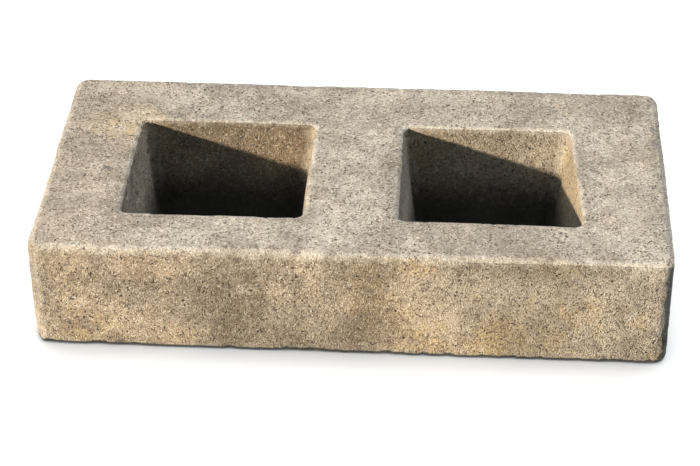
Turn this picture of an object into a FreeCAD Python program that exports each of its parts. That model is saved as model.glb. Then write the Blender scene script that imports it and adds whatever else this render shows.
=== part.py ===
"""Concrete sleeper: one precast block with two tapered pockets that go right through it.

The block lies flat on its base. +X runs along its length, +Y away from the front side and +Z up.
The origin is the centre of the base. All sizes are in millimetres and angles in degrees.
"""

import math
import os

import FreeCAD
import Part

# The block.
LENGTH = 600.0
WIDTH = 300.0
HEIGHT = 115.0
CORNER_RADIUS = 14.0  # the four upright corners
TOP_EDGE_RADIUS = 7.0  # the arris round the top face
BASE_EDGE_RADIUS = 5.0  # the arris round the base

# The concrete left round the two pockets, measured at the top face before its arrises are rounded.
LEFT_LAND = 79.5  # from the block's left end to the left pocket
RIGHT_LAND = 82.5  # from the block's right end to the right pocket
FRONT_LAND = 59.5  # from the block's front side to both pockets
BACK_LAND = 78.0  # from the block's back to both pockets
WEB = 89.0  # between the two pockets

# The two pockets. They fill what the lands and the web leave: 174.5 along X and 162.5 along Y.
WALL_DRAFT = 8.4  # each wall leans in by this much towards the base, so that the core draws upwards
END_WALL_SKEW = 3.2  # the right pocket's end wall is out of square by this much, and narrows the back
POCKET_CORNER_RADIUS = 8.0  # the four upright corners inside a pocket
MOUTH_EDGE_RADIUS = 4.0  # the arris round a pocket's mouth
FOOT_EDGE_RADIUS = 2.0  # the arris round a pocket's lower opening

CUT_OVERRUN = 5.0  # how far a pocket's cutting solid runs past the top face and the base
SAME_HEIGHT = 1e-4


def edges_at_height(shape, height):
    """The edges that lie level at this height."""
    return [
        edge
        for edge in shape.Edges
        if abs(edge.BoundBox.ZMin - height) < SAME_HEIGHT and abs(edge.BoundBox.ZMax - height) < SAME_HEIGHT
    ]


def rising_edges(shape, low, high):
    """The straight edges that run from one height to another."""
    return [
        edge
        for edge in shape.Edges
        if abs(edge.BoundBox.ZMin - low) < SAME_HEIGHT and abs(edge.BoundBox.ZMax - high) < SAME_HEIGHT
    ]


def block():
    """The block without its pockets, with rounded corners and arrises."""
    corner = FreeCAD.Vector(-LENGTH / 2, -WIDTH / 2, 0)
    solid = Part.makeBox(LENGTH, WIDTH, HEIGHT, corner)
    solid = solid.makeFillet(CORNER_RADIUS, rising_edges(solid, 0, HEIGHT))
    solid = solid.makeFillet(TOP_EDGE_RADIUS, edges_at_height(solid, HEIGHT))
    return solid.makeFillet(BASE_EDGE_RADIUS, edges_at_height(solid, 0))


def mouth_corners(left, right, end_skew):
    """A pocket's four corners in the top face, anticlockwise from the front left one."""
    front = -WIDTH / 2 + FRONT_LAND
    back = WIDTH / 2 - BACK_LAND
    narrowing = (back - front) * math.tan(math.radians(end_skew))
    return [(left, front), (right, front), (right - narrowing, back), (left, back)]


def inset(corners, distance):
    """The same outline with every side moved inwards by distance, or outwards if it is negative."""
    count = len(corners)
    sides = []
    for i, (x, y) in enumerate(corners):
        next_x, next_y = corners[(i + 1) % count]
        side_length = math.hypot(next_x - x, next_y - y)
        along_x = (next_x - x) / side_length
        along_y = (next_y - y) / side_length
        sides.append((x - along_y * distance, y + along_x * distance, along_x, along_y))
    moved = []
    for i, (x, y, along_x, along_y) in enumerate(sides):
        before_x, before_y, before_along_x, before_along_y = sides[i - 1]
        turn = before_along_x * along_y - before_along_y * along_x
        travel = ((x - before_x) * along_y - (y - before_y) * along_x) / turn
        moved.append((before_x + before_along_x * travel, before_y + before_along_y * travel))
    return moved


def pocket_cutter(mouth):
    """The solid that cuts one pocket: four leaning walls with rounded corners between them."""
    lean = math.tan(math.radians(WALL_DRAFT))
    low, high = -CUT_OVERRUN, HEIGHT + CUT_OVERRUN
    rings = []
    for z in (low, high):
        ring = inset(mouth, (HEIGHT - z) * lean)
        rings.append([FreeCAD.Vector(x, y, z) for x, y in ring])
    floor, roof = rings
    outlines = [floor[::-1], roof]
    for i in range(len(mouth)):
        j = (i + 1) % len(mouth)
        outlines.append([floor[i], floor[j], roof[j], roof[i]])
    faces = [Part.Face(Part.makePolygon(outline + outline[:1])) for outline in outlines]
    solid = Part.makeSolid(Part.makeShell(faces))
    return solid.makeFillet(POCKET_CORNER_RADIUS, rising_edges(solid, low, high))


def inside_pockets(edge):
    """Whether an edge of the top face or the base belongs to a pocket and not to the block's outline."""
    box = edge.BoundBox
    margin = CORNER_RADIUS + TOP_EDGE_RADIUS
    return (
        box.XMin > -LENGTH / 2 + margin
        and box.XMax < LENGTH / 2 - margin
        and box.YMin > -WIDTH / 2 + margin
        and box.YMax < WIDTH / 2 - margin
    )


def sleeper():
    """The whole casting."""
    first = -LENGTH / 2 + LEFT_LAND
    last = LENGTH / 2 - RIGHT_LAND
    pocket_length = (last - first - WEB) / 2
    solid = block()
    solid = solid.cut(pocket_cutter(mouth_corners(first, first + pocket_length, 0.0)))
    solid = solid.cut(pocket_cutter(mouth_corners(last - pocket_length, last, END_WALL_SKEW)))
    mouths = [edge for edge in edges_at_height(solid, HEIGHT) if inside_pockets(edge)]
    solid = solid.makeFillet(MOUTH_EDGE_RADIUS, mouths)
    feet = [edge for edge in edges_at_height(solid, 0) if inside_pockets(edge)]
    return solid.makeFillet(FOOT_EDGE_RADIUS, feet)


def main():
    os.makedirs("parts", exist_ok=True)
    casting = sleeper()
    solid = casting.Solids[0]
    solid.exportStep("parts/sleeper.step")
    print("solids", len(casting.Solids), "valid", solid.isValid(), "volume in litres", round(solid.Volume / 1e6, 4))


main()
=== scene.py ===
"""Looks of the concrete sleeper: one block of cast concrete with two tapered pockets through it.

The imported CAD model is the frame. The block is remeshed finely from it, worn, pitted and streaked
in its geometry, and given one procedural concrete. Lengths are in metres, +X runs along the block,
+Y away from its front side and +Z up.
"""

import itertools
import math

import bmesh
import bpy
import numpy as np
from mathutils import Matrix, Vector
from mathutils.bvhtree import BVHTree
from mathutils.kdtree import KDTree


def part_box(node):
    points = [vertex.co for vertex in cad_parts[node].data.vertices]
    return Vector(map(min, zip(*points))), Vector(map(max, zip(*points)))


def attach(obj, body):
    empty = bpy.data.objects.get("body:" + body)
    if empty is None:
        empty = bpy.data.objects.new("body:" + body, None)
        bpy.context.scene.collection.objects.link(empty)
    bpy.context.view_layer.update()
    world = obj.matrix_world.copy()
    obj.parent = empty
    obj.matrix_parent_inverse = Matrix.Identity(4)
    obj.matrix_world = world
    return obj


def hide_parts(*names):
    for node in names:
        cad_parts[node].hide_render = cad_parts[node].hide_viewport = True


MM = 0.001

# The camera, about the block's centre.
LENS = 105.26  # millimetres, on a sensor 36 millimetres wide
SENSOR_WIDTH = 36.0
CAMERA_PITCH = 35.665  # degrees down
CAMERA_YAW = -3.756
CAMERA_ROLL = -0.341
CAMERA_OFFSET = Vector((0.00714, -0.0195, 2.0311))  # to the block's centre: right, down and ahead

# The mesh.
FACE_SIZE = 3.25 * MM  # on the flats; along the arrises it is half this
FINE_BAND = 5.0 * MM  # how far from an arris the fine faces reach
WORN_BAND = 14.0 * MM  # how far from an arris wear reaches
FLAT_NORMAL = 0.965  # a normal with a part this large along one axis belongs to a flat and not to an arris
BASE_ZONE = 0.4 * MM  # lower than this the block stands on the floor, and stays flat
POCKET_MARGIN = 30.0 * MM  # a pocket's walls lie further inside the block than this
BUG_HOLES = 70
BUG_HOLE_RADII = (2.6 * MM, 4.6 * MM)
NOISE_TURN = np.array(Matrix.Rotation(0.7, 3, (1.0, 2.0, 3.0)))  # no noise lines up with the block's faces

# Where the block has its yellowest stains, and how far each spreads.
RUSTY_PLACES = (
    ((0.205, -0.15, 0.045), 0.075),
    ((0.150, -0.15, 0.025), 0.050),
    ((-0.245, -0.15, 0.020), 0.050),
    ((-0.235, 0.055, 0.115), 0.060),
)

# Where its front is soiled, and how far each mark spreads.
SOILED_PLACES = (
    ((-0.232, -0.15, 0.101), 0.014),
    ((-0.255, -0.15, 0.030), 0.034),
    ((-0.055, -0.15, 0.010), 0.030),
    ((-0.095, -0.15, 0.080), 0.060),
)

# Lights.
SUN_TRAVEL = Vector((1.0, 0.87, -0.3))  # low, from the front left
SUN_COLOR = (1.0, 0.865, 0.68)
SUN_STRENGTH = 7.8
SUN_SOFTNESS = 2.2  # degrees
BOX_TRAVEL = Vector((-0.12, -0.32, -0.94))  # a softbox above and behind
BOX_COLOR = (1.0, 0.985, 0.97)
BOX_STRENGTH = 3.45
BOX_SOFTNESS = 14.0
FILL_COLOR = (0.8, 0.91, 0.97)
FILL_STRENGTH = 0.34
FLOOR_LIGHT_TRAVEL = Vector((0.0, -0.15, -0.98))  # nearly straight down, on the floor only
FLOOR_LIGHT_STRENGTH = 4.2
FLOOR_LIGHT_SOFTNESS = 58.0
FLOOR_SIZE = 30.0
FLOOR_COLOR = (0.9, 0.9, 0.9)
WHITE = (1.0, 1.0, 1.0)


# ---------------------------------------------------------------- numbers


def hashed(cells, seed):
    """A number from 0 to 1 for each lattice point, the same on every run."""
    x, y, z = (cells[:, axis].astype(np.uint64) for axis in range(3))
    mixed = x * np.uint64(73856093) ^ y * np.uint64(19349663) ^ z * np.uint64(83492791)
    mixed = (mixed + np.uint64(seed * 7919)) * np.uint64(6364136223846793005)
    mixed = (mixed ^ (mixed >> np.uint64(29))) * np.uint64(1442695040888963407)
    return (mixed >> np.uint64(40)).astype(float) / float(1 << 24)


def noise(points, size, seed):
    """Smooth noise from -1 to 1 whose lumps are about this size."""
    scaled = points @ NOISE_TURN / size + 4096.0
    cell = np.floor(scaled).astype(np.int64)
    part = scaled - cell
    blend = part * part * (3.0 - 2.0 * part)
    total = np.zeros(len(points))
    for corner in itertools.product((0, 1), repeat=3):
        step = np.array(corner)
        weight = np.prod(np.where(step == 1, blend, 1.0 - blend), axis=1)
        total += weight * hashed(cell + step, seed)
    return 2.0 * total - 1.0


def layered(points, size, seed, layers=3):
    """Noise with finer and weaker noise on top of it."""
    total = np.zeros(len(points))
    for layer in range(layers):
        total += noise(points, size / 2.0**layer, seed + layer) / 2.0**layer
    return total / (2.0 - 2.0 ** (1 - layers))


def ramp(values, low, high):
    """0 at low, 1 at high, and smooth between them."""
    part = np.clip((values - low) / (high - low), 0.0, 1.0)
    return part * part * (3.0 - 2.0 * part)


# ---------------------------------------------------------------- the block's mesh


def closed_mesh(source):
    """The CAD node's mesh with its split corners joined again."""
    mesh = bmesh.new()
    mesh.from_mesh(source.data)
    bmesh.ops.remove_doubles(mesh, verts=mesh.verts, dist=1e-6)
    return mesh


def even_faces(source):
    """The CAD surface again, in small even faces."""
    closed = closed_mesh(source)
    data = bpy.data.meshes.new("closed")
    closed.to_mesh(data)
    closed.free()
    holder = bpy.data.objects.new("closed", data)
    bpy.context.scene.collection.objects.link(holder)
    remesh = holder.modifiers.new("even faces", "REMESH")
    remesh.mode = "VOXEL"
    remesh.voxel_size = FACE_SIZE
    depsgraph = bpy.context.evaluated_depsgraph_get()
    even = bpy.data.meshes.new_from_object(holder.evaluated_get(depsgraph))
    bpy.data.objects.remove(holder)
    bpy.data.meshes.remove(data)
    return even


def near_arris(points, normals, reach):
    """How near each point is to an arris: 1 on it, 0 from reach on. There the normal is off every axis."""
    on_arris = np.abs(normals).max(axis=1) < FLAT_NORMAL
    tree = KDTree(int(on_arris.sum()))
    for number, point in enumerate(points[on_arris]):
        tree.insert(point, number)
    tree.balance()
    gaps = np.array([tree.find(point)[2] for point in points])
    return 1.0 - ramp(gaps, 0.0, reach)


def mesh_arrays(mesh):
    """A mesh's points and normals."""
    points = np.empty(len(mesh.vertices) * 3)
    mesh.vertices.foreach_get("co", points)
    normals = np.empty(len(mesh.vertices) * 3)
    mesh.vertices.foreach_get("normal", normals)
    return points.reshape(-1, 3), normals.reshape(-1, 3)


def onto_surface(mesh, source):
    """Moves each point of the mesh to the nearest point of the CAD surface."""
    closed = closed_mesh(source)
    surface = BVHTree.FromBMesh(closed)
    closed.free()
    for vertex in mesh.vertices:
        vertex.co = surface.find_nearest(vertex.co)[0]
    mesh.update()


def finer_arrises(mesh):
    """Splits the faces along the arrises, so that chips and wear have enough points."""
    points, normals = mesh_arrays(mesh)
    near = near_arris(points, normals, FINE_BAND) > 0.0
    work = bmesh.new()
    work.from_mesh(mesh)
    work.verts.ensure_lookup_table()
    edges = [edge for edge in work.edges if near[edge.verts[0].index] and near[edge.verts[1].index]]
    bmesh.ops.subdivide_edges(work, edges=edges, cuts=1, use_grid_fill=True)
    bmesh.ops.triangulate(work, faces=work.faces)
    work.to_mesh(mesh)
    work.free()
    mesh.update()


def store(mesh, name, values):
    """Keeps one number for each point, for the material to read."""
    attribute = mesh.attributes.new(name, "FLOAT", "POINT")
    attribute.data.foreach_set("value", values.astype(np.float32))


def near_places(points, places):
    """1 at each (place, reach), falling to 0 at its reach."""
    nearness = np.zeros(len(points))
    for place, reach in places:
        gaps = np.linalg.norm(points - np.array(place), axis=1)
        nearness = np.maximum(nearness, 1.0 - ramp(gaps, 0.0, reach))
    return nearness


def bug_holes(points, normals, weights, count, radii, seed):
    """Depth of round air holes at random points, where weights says they are likely."""
    random = np.random.default_rng(seed)
    depth = np.zeros(len(points))
    for centre in random.choice(len(points), count, replace=False, p=weights / weights.sum()):
        radius = random.uniform(*radii)
        gap = np.linalg.norm(points - points[centre], axis=1)
        inside = (gap < radius) & (normals @ normals[centre] > 0.7)
        hollow = radius * random.uniform(0.5, 0.9) * np.sqrt(1.0 - (gap[inside] / radius) ** 2)
        depth[inside] = np.maximum(depth[inside], hollow)
    return depth


def weathered(mesh, low, high):
    """Wears, chips, pits and streaks the mesh, and stores what its material needs to know."""
    points, normals = mesh_arrays(mesh)
    x, y, z = points.T
    side = np.abs(normals[:, 2]) < 0.5
    inside_x = (x > low.x + POCKET_MARGIN) & (x < high.x - POCKET_MARGIN)
    inside_y = (y > low.y + POCKET_MARGIN) & (y < high.y - POCKET_MARGIN)
    walls = side & inside_x & inside_y
    convex = near_arris(points, normals, WORN_BAND)
    top = ramp(normals[:, 2], 0.5, 0.95)
    # The pale surface: the top, partly painted light, and as painted shade the pockets' left walls, which
    # face away from the sun.
    top_skin_and_shaded_walls = np.maximum(top, walls * ramp(normals[:, 0], 0.3, 0.8))
    lifted = ramp(z, low.z + BASE_ZONE, low.z + 4 * BASE_ZONE)
    foot = 1.0 - ramp(z, low.z + 4 * MM, low.z + 16 * MM)

    # Where the mould dragged upright streaks: the right of the front and back, and every pocket wall.
    streaks = ramp(layered(points, 0.11, 61) + 1.6 * x, -0.2, 0.6) * side
    streaks = np.maximum(streaks, walls)
    drag = layered(points * (1.0, 1.0, 0.16), 6 * MM, 11, 2)

    # Waves and lumps of the whole face, then the streaks and their gouges.
    rise = 0.55 * MM * layered(points, 0.13, 21, 2)
    rise += 0.28 * MM * layered(points, 24 * MM, 31, 2)
    rise += 0.18 * MM * noise(points, 6.0 * MM, 41) * (1.0 - 0.6 * top)
    rise += 0.38 * MM * drag * streaks
    gouges = ramp(drag, 0.42, 0.75) * streaks
    rise -= 1.1 * MM * gouges

    # The arrises: rubbed down, chipped, crumbly, and broken away along the foot.
    wear = ramp(layered(points, 35 * MM, 51), -0.2, 0.6)
    rise -= convex**2 * wear * 0.7 * MM
    chips = ramp(layered(points, 12 * MM, 71, 2), 0.40, 0.70)
    rise -= convex * chips * 1.2 * MM
    crumbs = ramp(noise(points, 4.2 * MM, 81), 0.2, 0.8)
    rise -= convex**2 * crumbs * 0.6 * MM
    rise -= convex * foot * ramp(layered(points, 9 * MM, 91, 2), -0.1, 0.7) * 2.2 * MM

    likely = np.where(side, 1.0, 0.35) * lifted + 1e-6
    holes = bug_holes(points, normals, likely, BUG_HOLES, BUG_HOLE_RADII, 5)
    rise -= holes * (1.0 - 0.5 * convex)

    moved = points + normals * (rise * lifted)[:, None]
    moved[:, 2] = np.maximum(moved[:, 2], low.z)
    mesh.vertices.foreach_set("co", moved.ravel())
    mesh.update()
    store(mesh, "worn", convex)
    store(mesh, "top", top)
    # Where the pale surface goes: the top, partly painted light, and the pockets' left walls as painted
    # shade.
    store(mesh, "top_skin_and_shaded_walls", top_skin_and_shaded_walls)
    # Painted shade: a dark line along the foot.
    store(mesh, "foot", 1.0 - ramp(z, low.z + 2.0 * MM, low.z + 5.5 * MM))
    store(mesh, "rusty", near_places(points, RUSTY_PLACES))
    store(mesh, "soiled", near_places(points, SOILED_PLACES))
    # Painted shade: the pockets' back walls, which the low sun strikes at a slant.
    store(mesh, "back_wall_shade", walls * ramp(-normals[:, 1], 0.3, 0.8))
    # Painted sunlight: the pockets' right walls, which face the low sun.
    store(mesh, "painted_sunlight", walls * ramp(-normals[:, 0], 0.3, 0.8))
    # How deep each pocket-wall point lies, for painted shade darker towards the pockets' bottoms.
    store(mesh, "sunk", walls * ramp(high.z - z, 0.0, high.z - low.z))
    store(mesh, "streaks", streaks)
    # How hollow each point is, for painted shade in holes, chips and gouges.
    store(mesh, "hollow", np.clip(holes / (3 * MM) + chips * convex * 0.6 + gouges, 0.0, 1.0))


def build_block(source, low, high):
    """The one cast piece, as its own object."""
    mesh = even_faces(source)
    onto_surface(mesh, source)
    finer_arrises(mesh)
    onto_surface(mesh, source)
    weathered(mesh, low, high)
    mesh.polygons.foreach_set("use_smooth", np.ones(len(mesh.polygons), bool))
    mesh.materials.clear()
    mesh.materials.append(concrete())
    block = bpy.data.objects.new("cast_block", mesh)
    bpy.context.scene.collection.objects.link(block)
    return block


# ---------------------------------------------------------------- the concrete

PALE = (0.465, 0.43, 0.375, 1.0)  # the top's dry cement surface, partly painted light for the top's cooler light; on the pockets' left walls, painted shade
TAN = (0.465, 0.385, 0.29, 1.0)  # the moulded sides
SHADED_BACK_WALL = (0.315, 0.24, 0.152, 1.0)  # painted shade: the pockets' back walls coloured darker, as the low sun strikes them at a slant
OCHRE = (0.57, 0.41, 0.19, 1.0)  # rusty yellow stains
DIRT_AND_HOLLOW_SHADE = (0.215, 0.167, 0.13, 1.0)  # damp and dirt, and painted shade in holes, chips and gouges
SAND = (0.86, 0.80, 0.70, 1.0)  # pale sand grains; on the arrises also a painted highlight
DEEP_SHADE = (0.036, 0.036, 0.03, 1.0)  # painted shade deep in the pockets and along the foot
SUNLIT_WALL = (0.84, 0.67, 0.44, 1.0)  # painted sunlight on the pockets' right walls, which face the low sun
PIT_SHADE = (0.045, 0.038, 0.03, 1.0)  # painted shade inside a small hole

GRAIN_SIZE = 1.5 * MM
PITS = ((2.2 * MM, 0.32), (4.6 * MM, 0.21), (10.0 * MM, 0.13))  # spacing, and radius as a part of it
BUMP_DEPTH = 2.9 * MM


class Tree:
    """A material's nodes, added one call at a time."""

    def __init__(self, material):
        self.tree = material.node_tree
        self.tree.nodes.clear()

    def node(self, kind, inputs, **settings):
        node = self.tree.nodes.new(kind)
        for name, value in settings.items():
            setattr(node, name, value)
        for name, value in inputs.items():
            socket = node.inputs[name]
            if isinstance(value, bpy.types.NodeSocket):
                self.tree.links.new(value, socket)
            else:
                socket.default_value = value
        return node

    def place(self, stretch=(1.0, 1.0, 1.0)):
        """Places on the block, in metres; a stretch under 1 draws the pattern out along that axis."""
        where = self.node("ShaderNodeTexCoord", {}).outputs["Object"]
        if stretch == (1.0, 1.0, 1.0):
            return where
        return self.node("ShaderNodeVectorMath", {0: where, 1: stretch}, operation="MULTIPLY").outputs[0]

    def warped(self, size, reach):
        """The same places, each pushed aside by up to about this reach."""
        inputs = {"Vector": self.place(), "Scale": 1.0 / size, "Detail": 2.0}
        push = self.node("ShaderNodeTexNoise", inputs).outputs["Color"]
        inputs = {0: push, 1: (reach, reach, reach), 2: self.place()}
        return self.node("ShaderNodeVectorMath", inputs, operation="MULTIPLY_ADD").outputs[0]

    def noise(self, size, detail=2.0, where=None, roughness=0.55):
        """Noise around 0.5 whose lumps are about this size in metres."""
        inputs = {"Vector": where or self.place(), "Scale": 1.0 / size}
        inputs.update({"Detail": detail, "Roughness": roughness})
        return self.node("ShaderNodeTexNoise", inputs).outputs["Fac"]

    def cells(self, size, output="Distance", where=None):
        """Scattered cells of about this size: each point's distance to its cell's middle, or its colour."""
        inputs = {"Vector": where or self.place(), "Scale": 1.0 / size}
        return self.node("ShaderNodeTexVoronoi", inputs).outputs[output]

    def ramp(self, value, low, high, start=0.0, end=1.0):
        """Start at low, end at high, and smooth between them."""
        inputs = {"Value": value, "From Min": low, "From Max": high, "To Min": start, "To Max": end}
        return self.node("ShaderNodeMapRange", inputs, interpolation_type="SMOOTHSTEP").outputs["Result"]

    def math(self, operation, first, second):
        return self.node("ShaderNodeMath", {0: first, 1: second}, operation=operation).outputs[0]

    def times(self, first, second):
        return self.math("MULTIPLY", first, second)

    def plus(self, first, second):
        return self.math("ADD", first, second)

    def mix(self, factor, first, second):
        """The first colour, going over to the second as factor goes from 0 to 1."""
        return self.node("ShaderNodeMix", {0: factor, 6: first, 7: second}, data_type="RGBA").outputs[2]

    def stored(self, name):
        """A number that the mesh keeps for each point."""
        return self.node("ShaderNodeAttribute", {}, attribute_name=name).outputs["Fac"]


def broad_tone(tree, mottle):
    """A pale top and tan sides, partly painted light for the top's cooler light and the sides' warm sun,
    with painted shade on the pockets' back and left walls, painted sunlight on their right walls, and
    ochre, dirty and soiled patches over all.
    """
    top = tree.stored("top")
    rusty = tree.stored("rusty")
    along = tree.node("ShaderNodeSeparateXYZ", {0: tree.place()}).outputs["X"]
    # Painted light: the top paler and greyer, and the pockets' shaded left walls greyer, than the tan
    # sides.
    color = tree.mix(tree.stored("top_skin_and_shaded_walls"), TAN, PALE)
    color = tree.mix(tree.ramp(along, -0.12, -0.28, 0.0, 0.45), color, TAN)
    # Painted shade: the pockets' back walls are coloured darker.
    color = tree.mix(tree.times(tree.stored("back_wall_shade"), 0.9), color, SHADED_BACK_WALL)
    sunny = tree.times(tree.ramp(along, 0.02, 0.26, 0.0, 0.45), tree.ramp(top, 0.0, 1.0, 1.0, 0.0))
    color = tree.mix(sunny, color, SAND)

    ochre = tree.ramp(tree.noise(0.06, 5.0), 0.47, 0.66)
    ochre = tree.times(ochre, tree.ramp(top, 0.0, 1.0, 0.7, 0.15))
    ochre = tree.times(ochre, tree.ramp(along, -0.1, 0.2, 0.35, 1.0))
    color = tree.mix(ochre, color, OCHRE)
    dirt = tree.ramp(tree.noise(0.05, 6.0, roughness=0.62), 0.46, 0.72, 0.0, 0.65)
    dirt = tree.times(dirt, tree.ramp(top, 0.0, 1.0, 1.0, 0.7))
    dirt = tree.times(dirt, tree.ramp(rusty, 0.0, 0.6, 1.0, 0.15))
    color = tree.mix(dirt, color, DIRT_AND_HOLLOW_SHADE)
    rust = tree.times(rusty, tree.ramp(tree.noise(0.018, 4.0), 0.33, 0.62, 0.1, 0.62))
    color = tree.mix(rust, color, OCHRE)
    soil = tree.times(tree.stored("soiled"), tree.ramp(tree.noise(0.011, 4.0), 0.35, 0.65, 0.1, 0.9))
    color = tree.mix(soil, color, DIRT_AND_HOLLOW_SHADE)

    color = tree.mix(tree.ramp(mottle, 0.35, 0.75, 0.0, 0.22), color, DIRT_AND_HOLLOW_SHADE)
    pale = tree.ramp(tree.noise(0.03, 4.0), 0.55, 0.75, 0.0, 0.25)
    color = tree.mix(pale, color, SAND)
    # Painted sunlight: the pockets' right walls are coloured paler and warmer.
    return tree.mix(tree.times(tree.stored("painted_sunlight"), 0.9), color, SUNLIT_WALL)


def pit_holes(tree):
    """Small dark holes of uneven outline, scattered, at three sizes: 1 in a hole and 0 outside."""
    pits = None
    for size, reach in PITS:
        radius = tree.ramp(tree.noise(size * 3.0, 2.0), 0.42, 0.66, 0.0, reach)
        middles = tree.cells(size, where=tree.warped(size * 0.5, size * 0.35))
        hole = tree.ramp(tree.math("SUBTRACT", middles, radius), 0.05, -0.04)
        pits = hole if pits is None else tree.math("MAXIMUM", pits, hole)
    return pits


def relief(tree, grain, pits):
    """The normal over sand, lumps, drag marks and pits."""
    streaks = tree.stored("streaks")
    rough = tree.ramp(streaks, 0.0, 1.0, 0.95, 2.6)
    rough = tree.times(rough, tree.ramp(tree.noise(0.045, 3.0), 0.38, 0.62, 0.6, 1.25))
    rough = tree.plus(rough, tree.times(tree.stored("worn"), 0.3))
    height = tree.times(tree.noise(1.5 * MM, 2.0, roughness=0.7), 1.5)
    height = tree.plus(height, tree.times(tree.noise(4.0 * MM, 1.0), 0.25))
    height = tree.times(height, rough)
    height = tree.plus(height, tree.times(grain, 0.25))
    lumps = tree.times(tree.noise(10 * MM, 2.0), tree.ramp(tree.stored("top"), 0.0, 1.0, 0.6, 0.3))
    height = tree.plus(height, lumps)
    drag = tree.noise(3.4 * MM, 2.0, tree.place((1.0, 1.0, 0.2)))
    height = tree.plus(height, tree.times(drag, tree.times(streaks, 0.6)))
    height = tree.math("SUBTRACT", height, pits)
    bump = tree.node("ShaderNodeBump", {"Strength": 1.0, "Distance": BUMP_DEPTH, "Height": height})
    return bump.outputs["Normal"]


def concrete():
    """Vibrated precast concrete: pale sand in grey and tan cement, with stains, pits and worn arrises, and
    with painted shade in its pits, hollows and deep pockets, on the pockets' back and left walls and along
    its foot, painted sunlight on the pockets' right walls and a painted highlight on its arrises.
    """
    material = bpy.data.materials.new("concrete")
    material.use_nodes = True
    tree = Tree(material)
    mottle = tree.noise(0.013, 3.0)
    color = broad_tone(tree, mottle)

    # Sand: single pale and dark grains.
    grain = tree.cells(GRAIN_SIZE, "Color")
    grain = tree.node("ShaderNodeSeparateColor", {"Color": grain}).outputs["Red"]
    color = tree.mix(tree.ramp(grain, 0.68, 1.0, 0.0, 0.45), color, SAND)
    color = tree.mix(tree.ramp(grain, 0.36, 0.0, 0.0, 0.9), color, DIRT_AND_HOLLOW_SHADE)

    pits = pit_holes(tree)
    # Painted shade: the pits are dark inside.
    color = tree.mix(tree.times(pits, 0.9), color, PIT_SHADE)
    # Painted shade in the mesh's holes, chips and gouges.
    color = tree.mix(tree.times(tree.stored("hollow"), 0.55), color, DIRT_AND_HOLLOW_SHADE)

    # Arrises rub paler and show their pale grains; the paler band is also a painted highlight along the
    # arrises.
    rubbed_and_highlit = tree.ramp(tree.plus(tree.stored("worn"), tree.noise(0.009, 4.0)), 1.3, 1.6, 0.0, 0.35)
    color = tree.mix(rubbed_and_highlit, color, SAND)

    # Painted shade: darker deep in the pockets, in patches, and a dark line along the foot.
    pocket_shade = tree.times(tree.noise(0.006, 5.0, roughness=0.7), 0.5)
    pocket_shade = tree.plus(tree.stored("sunk"), pocket_shade)
    color = tree.mix(tree.ramp(pocket_shade, 0.5, 1.15, 0.0, 0.95), color, DEEP_SHADE)
    color = tree.mix(tree.times(tree.stored("foot"), 0.92), color, DEEP_SHADE)

    inputs = {
        "Base Color": color,
        "Roughness": tree.ramp(mottle, 0.3, 0.7, 0.86, 0.96),
        "Specular IOR Level": 0.25,
        "Normal": relief(tree, grain, pits),
    }
    shader = tree.node("ShaderNodeBsdfPrincipled", inputs)
    tree.node("ShaderNodeOutputMaterial", {"Surface": shader.outputs["BSDF"]})
    return material


# ---------------------------------------------------------------- camera, floor and lights


def place_camera(centre):
    """The camera at the viewing angle and distance named at the top."""
    pitch = math.radians(CAMERA_PITCH)
    forward = Vector((0.0, math.cos(pitch), -math.sin(pitch)))
    right = Vector((1.0, 0.0, 0.0))
    axes = Matrix((right, forward.cross(right), forward))
    turned = Matrix.Rotation(math.radians(CAMERA_ROLL), 3, "Z") @ axes
    turned = turned @ Matrix.Rotation(math.radians(CAMERA_YAW), 3, "Z")
    to_world = turned.transposed()
    camera_axes = to_world @ Matrix.Diagonal((1.0, -1.0, -1.0))
    place = Matrix.Translation(centre - to_world @ CAMERA_OFFSET)
    data = bpy.data.cameras.new("camera")
    data.lens = LENS
    data.sensor_fit = "HORIZONTAL"
    data.sensor_width = SENSOR_WIDTH
    data.clip_end = 100.0
    camera = bpy.data.objects.new("camera", data)
    camera.matrix_world = place @ camera_axes.to_4x4()
    bpy.context.scene.collection.objects.link(camera)
    bpy.context.scene.camera = camera


def place_floor(height):
    """A plain pale floor that the block's own light can't brighten."""
    mesh = bpy.data.meshes.new("floor")
    half = FLOOR_SIZE / 2.0
    corners = [(-half, -half, height), (half, -half, height), (half, half, height), (-half, half, height)]
    mesh.from_pydata(corners, [], [(0, 1, 2, 3)])
    material = bpy.data.materials.new("floor")
    material.use_nodes = True
    shader = material.node_tree.nodes["Principled BSDF"]
    shader.inputs["Base Color"].default_value = (*FLOOR_COLOR, 1.0)
    shader.inputs["Roughness"].default_value = 1.0
    shader.inputs["Specular IOR Level"].default_value = 0.0
    mesh.materials.append(material)
    floor = bpy.data.objects.new("floor", mesh)
    bpy.context.scene.collection.objects.link(floor)
    floor.visible_diffuse = False
    floor.visible_glossy = False
    return floor


def place_sun(name, travel, color, strength, softness, lit):
    """A distant light that shines along travel, on one object only."""
    data = bpy.data.lights.new(name, "SUN")
    data.color = color
    data.energy = strength
    data.angle = math.radians(softness)
    light = bpy.data.objects.new(name, data)
    light.rotation_euler = travel.to_track_quat("-Z", "Y").to_euler()
    bpy.context.scene.collection.objects.link(light)
    receivers = bpy.data.collections.new(name + " receivers")
    receivers.objects.link(lit)
    light.light_linking.receiver_collection = receivers


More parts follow.
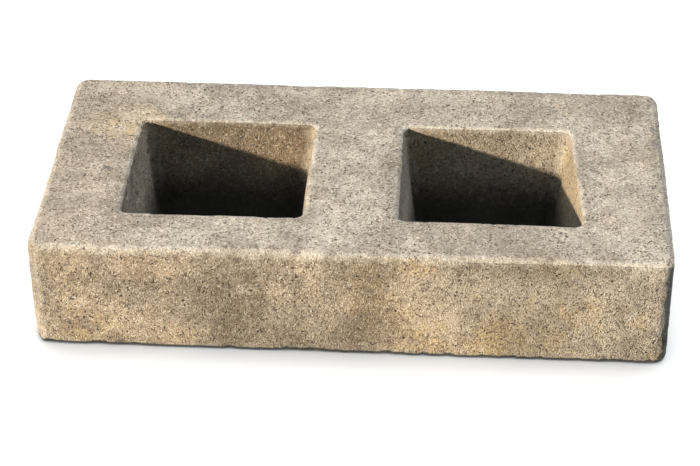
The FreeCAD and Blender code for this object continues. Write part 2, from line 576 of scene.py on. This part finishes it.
def light_world():
    """A white backdrop for the camera, and a weak even fill for everything else."""
    world = bpy.data.worlds.new("studio")
    world.use_nodes = True
    tree = world.node_tree
    tree.nodes.clear()
    fill = tree.nodes.new("ShaderNodeBackground")
    fill.inputs["Color"].default_value = (*FILL_COLOR, 1.0)
    fill.inputs["Strength"].default_value = FILL_STRENGTH
    backdrop = tree.nodes.new("ShaderNodeBackground")
    backdrop.inputs["Color"].default_value = (1.0, 1.0, 1.0, 1.0)
    rays = tree.nodes.new("ShaderNodeLightPath")
    mix = tree.nodes.new("ShaderNodeMixShader")
    output = tree.nodes.new("ShaderNodeOutputWorld")
    tree.links.new(rays.outputs["Is Camera Ray"], mix.inputs[0])
    tree.links.new(fill.outputs[0], mix.inputs[1])
    tree.links.new(backdrop.outputs[0], mix.inputs[2])
    tree.links.new(mix.outputs[0], output.inputs["Surface"])
    bpy.context.scene.world = world


# ---------------------------------------------------------------- the scene

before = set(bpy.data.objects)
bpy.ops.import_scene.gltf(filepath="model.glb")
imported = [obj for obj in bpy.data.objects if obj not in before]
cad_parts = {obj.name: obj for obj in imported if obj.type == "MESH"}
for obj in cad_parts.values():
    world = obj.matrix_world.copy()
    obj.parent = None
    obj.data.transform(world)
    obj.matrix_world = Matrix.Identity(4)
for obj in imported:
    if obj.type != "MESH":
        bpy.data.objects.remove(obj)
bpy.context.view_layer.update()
low, high = (Vector(corner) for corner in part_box("sleeper"))

block = build_block(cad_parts["sleeper"], low, high)
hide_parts("sleeper")
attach(block, "root")

floor = place_floor(low.z)
place_camera((low + high) / 2.0)
place_sun("sun", SUN_TRAVEL, SUN_COLOR, SUN_STRENGTH, SUN_SOFTNESS, block)
place_sun("softbox", BOX_TRAVEL, BOX_COLOR, BOX_STRENGTH, BOX_SOFTNESS, block)
place_sun("floor_light", FLOOR_LIGHT_TRAVEL, WHITE, FLOOR_LIGHT_STRENGTH, FLOOR_LIGHT_SOFTNESS, floor)
light_world()
bpy.context.scene.view_settings.view_transform = "Standard"
